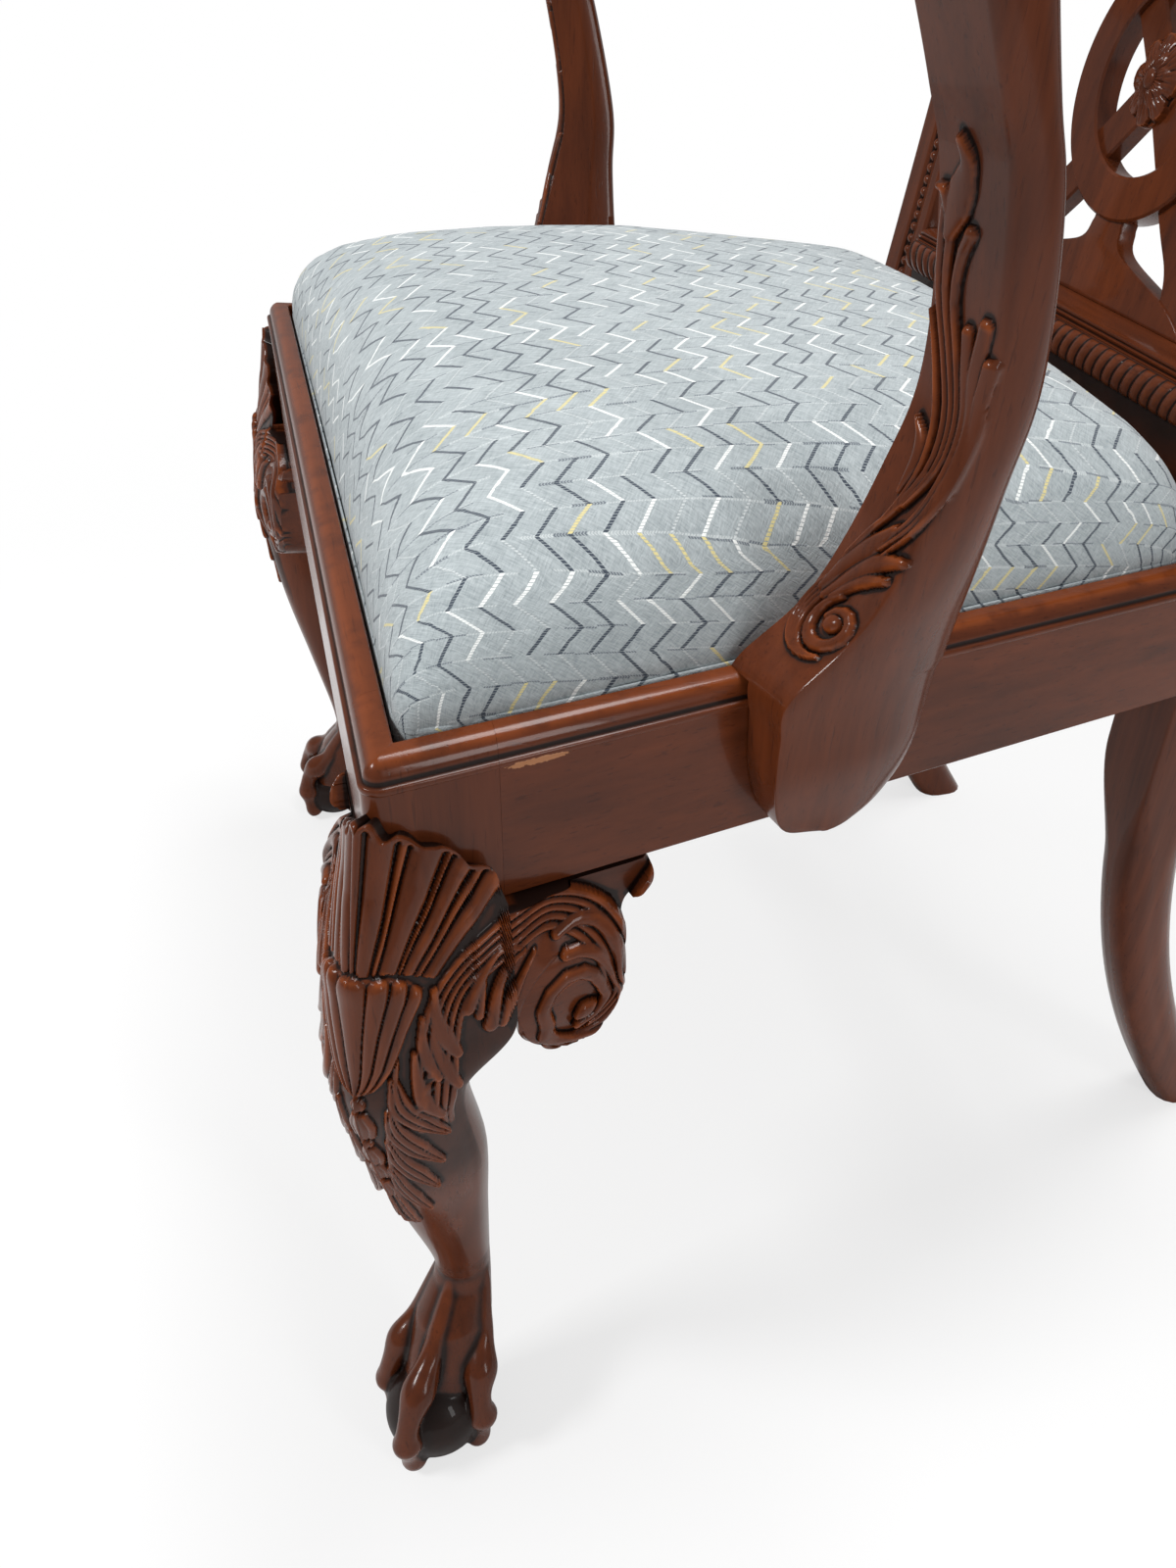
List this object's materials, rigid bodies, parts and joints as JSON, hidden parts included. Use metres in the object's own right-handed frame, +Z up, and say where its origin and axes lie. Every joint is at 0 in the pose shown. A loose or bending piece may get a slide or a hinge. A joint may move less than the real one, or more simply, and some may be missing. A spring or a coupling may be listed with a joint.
{
  "type": "carved wooden armchair",
  "caption": "Carved wooden armchair with cabriole front legs on ball-and-claw feet, a pierced splat, scrolled arms and a padded seat that lifts out of its frame.",
  "frame": {"origin": "on the floor, at the middle of the chair's box", "axes": "+Z up, the front faces -Y, +X is the sitter's left"},
  "size_m": [0.6918, 0.606, 1.0047],
  "materials": {
    "mahogany": "dark red-brown mahogany under satin lacquer, darker in the carving",
    "secondary_wood": "plain unfinished hardwood",
    "plywood": "bare plywood",
    "steel": "zinc-plated wood screws",
    "woven_cloth": "blue-grey twill with a woven pattern of short dashes",
    "foam": "upholstery foam",
    "black_cloth": "black cambric"
  },
  "bodies": {
    "frame": {"front_leg_left": "mahogany", "front_leg_right": "mahogany", "knee_block_front_left": "mahogany", "knee_block_front_right": "mahogany", "knee_block_side_left": "mahogany", "knee_block_side_right": "mahogany", "front_rail": "mahogany", "side_rail_left": "mahogany", "side_rail_right": "mahogany", "back_rail": "secondary_wood", "back_post_left": "mahogany", "back_post_right": "mahogany", "crest_rail": "mahogany", "splat_shoe": "mahogany", "splat": "mahogany", "arm_support_left": "mahogany", "arm_support_right": "mahogany", "arm_left": "mahogany", "arm_right": "mahogany", "corner_block_front_left": "secondary_wood", "corner_block_front_right": "secondary_wood", "corner_block_rear_left": "secondary_wood", "corner_block_rear_right": "secondary_wood", "corner_screw_front_to_front_rail_left": "steel", "corner_screw_front_to_front_rail_right": "steel", "corner_screw_front_to_side_rail_left": "steel", "corner_screw_front_to_side_rail_right": "steel", "corner_screw_rear_to_side_rail_left": "steel", "corner_screw_rear_to_side_rail_right": "steel", "corner_screw_rear_to_back_rail_left": "steel", "corner_screw_rear_to_back_rail_right": "steel", "support_screw_front_left": "steel", "support_screw_front_right": "steel", "support_screw_rear_left": "steel", "support_screw_rear_right": "steel", "arm_screw_left": "steel", "arm_screw_right": "steel", "arm_dowel_left": "secondary_wood", "arm_dowel_right": "secondary_wood"},
    "drop_in_seat": {"dust_cover": "black_cloth", "seat_board": "plywood", "seat_foam": "foam", "seat_cover": "woven_cloth"}
  },
  "joints": [
    {"name": "seat_lift", "type": "slide", "parent": "frame", "child": "drop_in_seat", "axis": [0, 0, 1], "range_m": [0, 0.12]}
  ]
}
